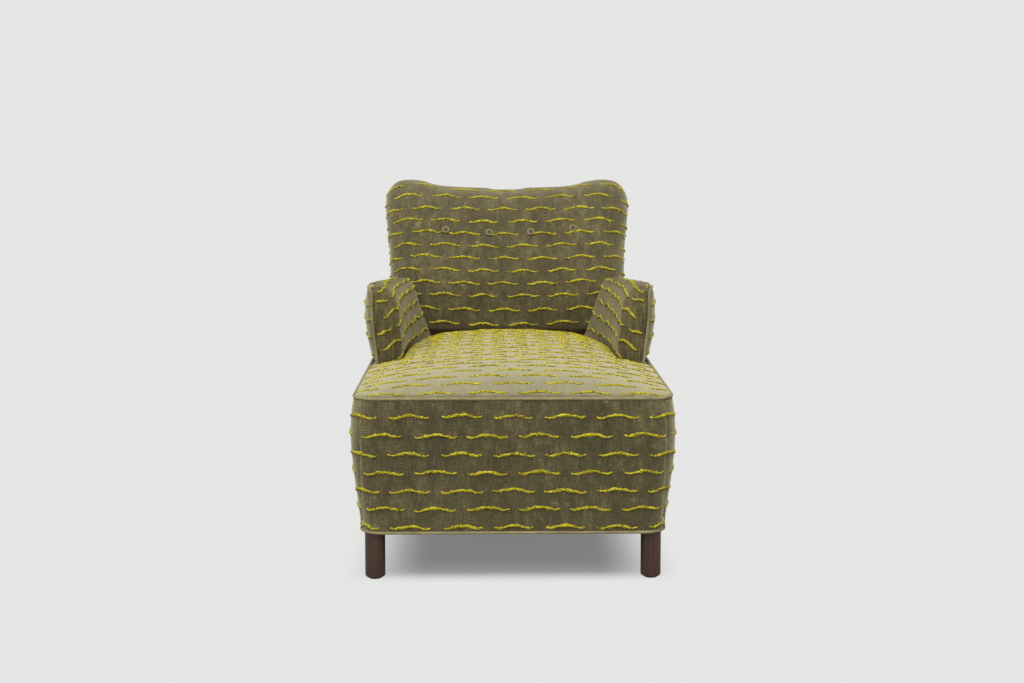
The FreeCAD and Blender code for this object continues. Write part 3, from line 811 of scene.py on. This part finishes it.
def makeBack():
    inside = outerSkin("inside_back_cover", backPlan["name"])
    outside = outerSkin("outside_back_cover", "backOutside")
    back = joined([inside, outside])
    editAll(back)
    bpy.ops.mesh.remove_doubles(threshold=0.8 * millimetre)
    bpy.ops.mesh.fill_holes(sides=0)
    bpy.ops.mesh.normals_make_consistent(inside=False)
    leaveEdit()
    back = remeshed(back, backPlan)
    weights = [(vertex.co.z - backPlan["crest"]) * backPlan["crestSlope"] for vertex in back.data.vertices]
    softened(back, weights, backPlan["crestTurns"])
    low, high = backPlan["liftFrom"]
    for vertex in back.data.vertices:  # fuller ears at the two ends of the crest
        share = portion(vertex.co.z, low, high)
        ear = math.exp(-(((abs(vertex.co.x) - backPlan["earMiddle"]) / backPlan["earReach"]) ** 2))
        vertex.co.z += share * (backPlan["topLift"] + backPlan["earLift"] * ear)
    settle(back, seatTop)
    swell(back, backPlan)
    middles = buttonMiddles()
    moveOut(back, lambda place, normal: sunk(place, middles))
    subdivided(back)
    covers = ["inside_back_cover", "outside_back_cover"]
    height = backPlan["faceHeight"]
    front = treeOf(covers[0]).ray_cast(Vector((0, -2, height)), Vector((0, 1, 0)))[0].y
    rear = treeOf(covers[1]).ray_cast(Vector((0, 2, height)), Vector((0, -1, 0)))[0].y
    turn = backPlan["recline"]
    up = Vector((0, math.sin(turn), math.cos(turn)))

    def chart(cover, place, normal):
        above = max(0, place.z - backPlan["bend"])
        lean = above * math.tan(turn)
        depth = place.y - front - lean if cover == covers[0] else rear + lean - place.y
        depth = max(0, depth * math.cos(turn) - backPlan["edgeStart"])
        share = abs(place.x) / backPlan["halfWide"]
        droop = backPlan["droop"] * share ** 8 - backPlan["smile"] * share ** 2
        droop += abs(normal.x) * depth * backPlan["sideDroop"]
        rise = min(place.z, backPlan["bend"]) + above / math.cos(turn)
        return place.x + normal.x * depth, rise + max(0, normal.dot(up)) * depth + droop

    panels = layCloth(back, covers, chart, backPlan["reach"])
    dress(back, velvet, "velvet", "back_pad", *covers)
    sewDashes("insideBackDashes", panels[covers[0]], backPlan["inside"])
    sewDashes("outsideBackDashes", panels[covers[1]], backPlan["outside"])
    return back


# buttons

buttonLook = {
    "name": "backButtons",
    "radius": 0.0105,
    "flat": 0.62,
    "out": 0.0022,
    "slip": ((0.004, -0.006), (0.009, -0.014), (0.008, -0.012), (0.009, -0.001)),
    "segments": 28,
    "rings": 14,
    # rim: a pale piping cord round each button, a painted sheen ring at the button's edge
    "rim": 0.0094,
    "rimCord": 0.0024,
    "rimLift": 0.003,
    "rimSteps": 32,
    "rimSides": 8,
}


def buttonMiddles():
    parts = looseParts(copyNode("back_buttons", "buttonPlaces"))
    middles = []
    for part in parts:
        points = [vertex.co for vertex in part.data.vertices]
        middles.append(sum(points, Vector()) / len(points))
        bpy.data.objects.remove(part)
    middles.sort(key=lambda middle: middle.x)
    lean = math.tan(backPlan["recline"])
    return [middle + Vector((x, z * lean, z)) for middle, (x, z) in zip(middles, buttonLook["slip"])]


def sunk(place, middles):  # a button pulls the padding in round itself
    away = min((place - middle).length for middle in middles) / backPlan["dimpleReach"]
    return -backPlan["dimple"] * max(0, 1 - away) ** 1.5


def makeButtons(back):
    skin = BVHTree.FromObject(back, bpy.context.evaluated_depsgraph_get())
    buttons = []
    sheenRims = []
    for middle in buttonMiddles():
        place, normal = skin.find_nearest(middle)[:2]
        facing = normal.to_track_quat("Z", "Y").to_euler()
        deselectAll()
        # a pale cord round the button's edge: painted sheen
        bpy.ops.mesh.primitive_torus_add(
            major_segments=buttonLook["rimSteps"],
            minor_segments=buttonLook["rimSides"],
            major_radius=buttonLook["rim"],
            minor_radius=buttonLook["rimCord"],
            location=place + normal * (buttonLook["out"] + buttonLook["rimLift"]),
            rotation=facing,
        )
        sheenRims.append(named("rim"))
        bpy.ops.object.transform_apply(location=True, rotation=True, scale=True)
        deselectAll()
        bpy.ops.mesh.primitive_uv_sphere_add(
            segments=buttonLook["segments"],
            ring_count=buttonLook["rings"],
            radius=buttonLook["radius"],
            location=place + normal * buttonLook["out"],
            rotation=facing,
        )
        button = named("button")
        button.scale.z = buttonLook["flat"]
        bpy.ops.object.transform_apply(location=True, rotation=True, scale=True)
        buttons.append(button)
    buttons = joined(buttons)
    buttons.name = buttonLook["name"]
    layCloth(buttons, ["back_buttons"], lambda cover, place, normal: (place.x, place.z * 1.2))
    smoothShade(buttons)
    dress(buttons, velvet, "velvet", "back_buttons")
    # the rings are dressed in pale piping, a painted sheen
    sheenRims = joined(sheenRims)
    sheenRims.name = buttonLook["name"] + "Rims"
    smoothShade(sheenRims)
    dress(sheenRims, piping, "velvet")


makeButtons(makeBack())
print("back and buttons made")


# arms

armPlan = {
    "voxel": 0.0075,
    "smooth": 4,
    "pressure": 4,
    "quality": 3,
    "frames": 20,
    "cap": 0.003,
    "coverAndGap": 0.0028,
    "tilt": 0.5,
    "firstStation": -0.16,
    "station": 0.02,
    "stations": 30,
    "stationHeight": 0.52,
    "inside": {"first": 0.442, "count": 7, "shift": -0.258, "span": (-0.45, 0.6)},
    "outside": {"first": 0.452, "count": 5, "shift": -0.21, "span": (-0.45, 0.6)},
    "wrinkle": 0.0024,
    "roundTurns": 220,
    "weltReach": 0.026,
    "roundUpTo": (0.16, 0.34),
    "domeDrop": 0.02,
    "domeTall": 0.11,
    "domeLong": (-0.1, 0.2),
    "domeRear": 0.5,
    "domeLean": 0.004,
    "slackFrom": 0.25,
    "reach": 0.03,
    "underside": 0.6,
    "rearEnd": 0.75,
    "neighbours": ["seat_cover", "inside_back_cover"],
}


def noseDome(points):  # how the top of the arm's nose falls away to both of its sides, and leans in
    nose = [point for point in points if point.y < armPlan["domeLong"][0]]
    top = max(point.z for point in nose)
    across = [abs(point.x) for point in nose if point.z > top - armPlan["domeTall"]]
    middle, half = (min(across) + max(across)) / 2, (max(across) - min(across)) / 2
    first, last = armPlan["domeLong"]

    def drop(place):
        aside = min(1.2, abs(abs(place.x) - middle) / half) ** 2.4
        tall = min(1, max(0, (place.z - top) / armPlan["domeTall"] + 1))
        near = min(1, max(armPlan["domeRear"], (last - place.y) / (last - first)))
        lean = armPlan["domeLean"] * min(1, max(0, abs(place.x) - middle) / half) * tall ** 3 * near
        return Vector((math.copysign(lean, -place.x), 0, -armPlan["domeDrop"] * aside * tall ** 1.5 * near))

    return drop


def innerFace(side, cover):  # how far the arm's inner face lies from the middle, along the arm
    tree = treeOf(cover)
    table = []
    for number in range(armPlan["stations"]):
        spot = Vector((0, armPlan["firstStation"] + number * armPlan["station"], armPlan["stationHeight"]))
        hit = tree.ray_cast(spot, Vector((side, 0, 0)))[0]
        table.append(abs(hit.x) if hit else table[-1])

    def distance(y):
        place = min(max(0, (y - armPlan["firstStation"]) / armPlan["station"]), len(table) - 1.001)
        number = int(place)
        return table[number] + (table[number + 1] - table[number]) * (place - number)

    return distance


def makeArm(word, side):
    plan = dict(armPlan, name=word + "ArmCushion")
    pad = word + "_arm_pad"
    inside = word + "_inside_arm_cover"
    outside = word + "_outside_arm_cover"
    arm = copyNode(pad, plan["name"])
    pushOut(arm, plan["coverAndGap"])
    arm = remeshed(arm, plan)
    welt = treeOf(word + "_arm_welt")
    first, last = plan["roundUpTo"]

    def loose(place):  # free of the welt and of the back
        fromWelt = welt.find_nearest(place)[3] / plan["weltReach"] - 0.2
        return min(1, fromWelt) * (last - place.y) / (last - first)

    weights = [loose(vertex.co) for vertex in arm.data.vertices]
    dome = noseDome([vertex.co for vertex in arm.data.vertices])
    for vertex in arm.data.vertices:
        vertex.co += dome(vertex.co)
    softened(arm, weights, plan["roundTurns"])
    settle(arm, seatTop)
    swell(arm, plan)
    distance = innerFace(side, inside)

    def rippled(place, normal):  # slack cloth on the nose and in the bend to the back
        slack = min(1, max(0, -normal.y) + max(0, place.y - plan["slackFrom"]) * 3)
        spot = Vector((place.x * 30, place.y * 12, place.z * 26 + place.x * 40))
        return slack * plan["wrinkle"] * noise.noise(spot)

    moveOut(arm, rippled)
    subdivided(arm)

    def chart(cover, place, normal):
        if cover == outside:
            return place.y, place.z
        depth = max(0, abs(place.x) - distance(place.y))
        nose = max(0, -normal.y)
        return place.y - nose * depth, place.z + (max(0, normal.z) + plan["tilt"] * nose) * depth

    def hidden(normal):  # the arm's underside and its rear end carry no dashes
        return normal.z < -plan["underside"] or normal.y > plan["rearEnd"]

    panels = layCloth(arm, [inside, outside], chart, plan["reach"], hidden=hidden)
    # the inside and nose take the copy whose base colour is painted lighter, a painted sheen
    dress(arm, armVelvetPaintedSheen, "velvet", pad, inside, outside)
    arm.data.materials.append(velvet)  # the nap of the outside cover lies as on the back, without the painted sheen lift of the inside and nose
    for number in panels[outside]["numbers"]:
        arm.data.polygons[number].material_index = 1
    sewDashes(word + "InsideArmDashes", panels[inside], plan["inside"])
    sewDashes(word + "OutsideArmDashes", panels[outside], plan["outside"])
    return dome


domes = {"left": makeArm("left", -1), "right": makeArm("right", 1)}
print("arms made")


# border round the base

borderPlan = {
    "width": 0.80,
    "length": 1.31,
    "corner": 0.066,
    "cornerSteps": 28,
    "column": 0.0034,
    "heightSteps": 74,
    "cloth": 0.0022,
    "seam": 0.3515,
    "seamDepth": 0.0016,
    "seamReach": 0.0045,
    "gather": 0.009,
    "gatherReach": 0.03,
    "slack": 0.0010,
    "chartRadius": 0.05,
    "endDepth": 0.06,
    "rearDepth": 0.1,
    "wrapReach": 0.08,
    "reach": 0.012,
    "rows": {"first": 0.1208, "count": 7, "shift": 0.0, "span": (-2.3, 2.3), "step": 1.008},
}


def roundedLoop(name, width, length, middle, corner, steps, step):  # a loop of edges round a rectangle
    deselectAll()
    bpy.ops.mesh.primitive_plane_add(size=1, location=middle)
    loop = named(name)
    loop.scale = (width, length, 1)
    bpy.ops.object.transform_apply(location=True, rotation=True, scale=True)
    editAll(loop)
    bpy.ops.mesh.bevel(offset=corner, segments=steps, affect="VERTICES")
    bpy.ops.mesh.delete(type="ONLY_FACE")
    for size in (width, length):
        cuts = int((size - 2 * corner) / step)
        long = size - 2 * corner

        def isLong(one, other):
            return abs((one - other).length - long) < 1 * millimetre

        selectEdges(loop, isLong)
        bpy.ops.mesh.subdivide(number_cuts=cuts)
    leaveEdit()
    return loop


def perimeter(place, box, fromRear):  # metres round the base from the middle of its front, or of its rear
    radius = borderPlan["chartRadius"]
    half = box[1].x - radius
    along = box[1].y - place.y if fromRear else place.y - box[0].y
    across = abs(place.x)
    if along < radius and across < half:
        run = across
    elif along < radius:
        run = half + radius * math.atan2(across - half, radius - along)
    else:
        run = half + radius * math.pi / 2 + along - radius
    return math.copysign(run, place.x)


def pucker(u, v, top):  # how far the border's cloth lies in or out
    down = max(0, 1 - (top - v) / borderPlan["gatherReach"])
    pleat = max(0, noise.noise(Vector((u * 62, 0.3, 4))) - 0.12) * (0.5 + noise.noise(Vector((u * 9, 7, 1))))
    slack = noise.noise(Vector((u * 11, v * 8, 2))) * borderPlan["slack"]
    return slack - pleat * borderPlan["gather"] * down ** 1.4


def makeBorder():
    covers = [word + "_border_cover" for word in ("front", "rear", "left", "right")]
    low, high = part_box("left_border_cover")
    box = (Vector((low.x, low.y, low.z)), Vector((-low.x, high.y, high.z)))
    middle = (0, (low.y + high.y) / 2, low.z)
    ring = roundedLoop(
        "borderRing", borderPlan["width"], borderPlan["length"], middle,
        borderPlan["corner"], borderPlan["cornerSteps"], borderPlan["column"],
    )
    tall = high.z - low.z
    editAll(ring)
    bpy.ops.mesh.extrude_edges_move(TRANSFORM_OT_translate={"value": (0, 0, tall)})
    selectEdges(ring, lambda one, other: abs(one.z - other.z) > tall / 2)
    bpy.ops.mesh.subdivide(number_cuts=borderPlan["heightSteps"])
    bpy.ops.mesh.select_all(action="SELECT")
    bpy.ops.mesh.normals_make_consistent(inside=False)
    leaveEdit()
    form = joined([copyNode(cover, "borderForm") for cover in covers])
    editAll(form)
    bpy.ops.mesh.remove_doubles(threshold=0.8 * millimetre)
    leaveEdit()
    applyModifier(
        ring, "SHRINKWRAP", target=form, wrap_method="PROJECT",
        use_negative_direction=True, use_positive_direction=True, project_limit=borderPlan["wrapReach"],
    )
    bpy.data.objects.remove(form)

    def puckered(place, normal):
        onEnd = min(abs(place.y - low.y), abs(high.y - place.y)) < borderPlan["endDepth"]
        seam = math.exp(-((abs(place.x) - borderPlan["seam"]) / borderPlan["seamReach"]) ** 2) if onEnd else 0
        tug = 0.7 + 0.6 * noise.noise(Vector((place.x * 3, place.y, place.z * 60)))
        return pucker(perimeter(place, box, False), place.z, high.z) - seam * borderPlan["seamDepth"] * tug

    moveOut(ring, puckered)

    def chart(cover, place, normal):
        return perimeter(place, box, cover == "rear_border_cover"), place.z

    sewnTo = {"left_border_cover": "front_border_cover", "right_border_cover": "front_border_cover"}
    panels = layCloth(ring, covers, chart, borderPlan["reach"], sewnTo)
    sewDashes("borderDashes", panels["front_border_cover"], borderPlan["rows"])
    sewDashes("rearBorderDashes", panels["rear_border_cover"], borderPlan["rows"])
    splitBorder(ring, high)


def splitBorder(ring, high):  # one panel for each side, cut at the corner seams
    rest = ring
    seam = borderPlan["seam"]
    tests = {
        "front": lambda middle: abs(middle.x) < seam and middle.y < 0,
        "rear": lambda middle: abs(middle.x) < seam and middle.y > high.y - borderPlan["rearDepth"],
        "left": lambda middle: middle.x < 0,
        "right": lambda middle: middle.x > 0,
    }
    for word, test in tests.items():
        panel = rest
        if word != "right":
            editAll(rest)
            bpy.ops.mesh.select_mode(type="FACE")
            bpy.ops.mesh.select_all(action="DESELECT")
            leaveEdit()
            for face in rest.data.polygons:
                face.select = test(face.center)
            bpy.ops.object.mode_set(mode="EDIT")
            bpy.ops.mesh.separate(type="SELECTED")
            leaveEdit()
            panel = [obj for obj in bpy.context.selected_objects if obj != rest][0]
        panel.name = word + "BorderPanel"
        panel.data.name = panel.name
        applyModifier(panel, "SOLIDIFY", thickness=borderPlan["cloth"], offset=-1)
        smoothShade(panel)
        dress(panel, velvet, "velvet", word + "_border_cover")


makeBorder()
print("border made")


# welts: cloth-covered cords along the seams

weltLook = {
    "radius": 0.0035,
    "round": 3,
    "steps": 12,
    "step": 0.02,
    "armPoints": 44,
    "noseDeep": 0.009,
    "evenTurns": 4,
}


def cordFrom(path, name, *stoodFor):  # a round cord along a run of edges
    pick(path)
    bpy.ops.object.convert(target="CURVE")
    path.data.bevel_depth = weltLook["radius"]
    path.data.bevel_resolution = weltLook["round"]
    path.data.use_fill_caps = True
    bpy.ops.object.convert(target="MESH")
    cord = bpy.context.object
    cord.name = name
    cord.data.name = name
    smoothShade(cord)
    return dress(cord, piping, "velvet", *stoodFor)


def makeEdgeWelt(node, name):
    low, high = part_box(node)
    radius = weltLook["radius"]
    reach = max(vertex.co.x - vertex.co.y for vertex in nodes[node].data.vertices)
    corner = (high.x - low.y - reach) / (2 - math.sqrt(2)) - radius  # from how far the CAD corner is cut back
    print(name, "corner", round(corner, 4))
    middle = ((low.x + high.x) / 2, (low.y + high.y) / 2, (low.z + high.z) / 2)
    width, length = high.x - low.x - 2 * radius, high.y - low.y - 2 * radius
    loop = roundedLoop(name, width, length, middle, corner, weltLook["steps"], weltLook["step"])
    cordFrom(loop, name, node)


def centreRun(points, axis, count):  # middles of the slices of a strip, from one end to the other
    first, last = min(point[axis] for point in points), max(point[axis] for point in points)
    slices = [[] for number in range(count)]
    for point in points:
        slices[min(count - 1, int((point[axis] - first) / (last - first) * count))].append(point)
    return [sum(group, Vector()) / len(group) for group in slices if group]


def pathOf(run, name):  # the run's points, joined by edges
    mesh = bpy.data.meshes.new(name)
    mesh.from_pydata(run, [(number, number + 1) for number in range(len(run) - 1)], [])
    return placed(name, mesh)


def makeArmWelt(word):
    node = word + "_arm_welt"
    points = [vertex.co.copy() for vertex in nodes[node].data.vertices]
    nose = min(point.y for point in points) + weltLook["noseDeep"]
    count = weltLook["armPoints"]
    run = centreRun([point for point in points if point.y < nose], 2, count // 3)
    run += centreRun([point for point in points if point.y >= nose], 1, count)
    run = [point + domes[word](point) for point in run]
    for turn in range(weltLook["evenTurns"]):
        run = [run[0]] + [(a + 2 * b + c) / 4 for a, b, c in zip(run, run[1:], run[2:])] + [run[-1]]
    cordFrom(pathOf(run, word + "ArmWelt"), word + "ArmWelt", node)


makeEdgeWelt("top_welt", "topWelt")
makeEdgeWelt("bottom_welt", "bottomWelt")
makeArmWelt("left")
makeArmWelt("right")
print("welts made")


# legs

legLook = {
    "segments": 56,
    "footEase": 0.005,
    "topEase": 0.0012,
    "easeSteps": 4,
    "sharpAngle": 40,
}


def makeLegs():
    for node in ("front_left_leg", "front_right_leg", "rear_left_leg", "rear_right_leg"):
        low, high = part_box(node)
        middle = (low + high) / 2
        deselectAll()
        bpy.ops.mesh.primitive_cylinder_add(
            vertices=legLook["segments"], radius=(high.x - low.x) / 2, depth=high.z - low.z, location=middle,
        )
        words = node.split("_")
        leg = named(words[0] + words[1].capitalize() + "Leg")
        bpy.ops.object.transform_apply(location=True, rotation=True, scale=True)
        editAll(leg)
        for level, ease in ((low.z, legLook["footEase"]), (high.z, legLook["topEase"])):

            def atLevel(one, other):
                return abs(one.z - level) + abs(other.z - level) < 0.1 * millimetre

            selectEdges(leg, atLevel)
            bpy.ops.mesh.bevel(offset=ease, segments=legLook["easeSteps"], affect="EDGES")
        leaveEdit()
        pick(leg)
        bpy.ops.object.shade_smooth_by_angle(angle=math.radians(legLook["sharpAngle"]))
        dress(leg, stainedWood, "leg_wood", node)


makeLegs()
print("legs made")
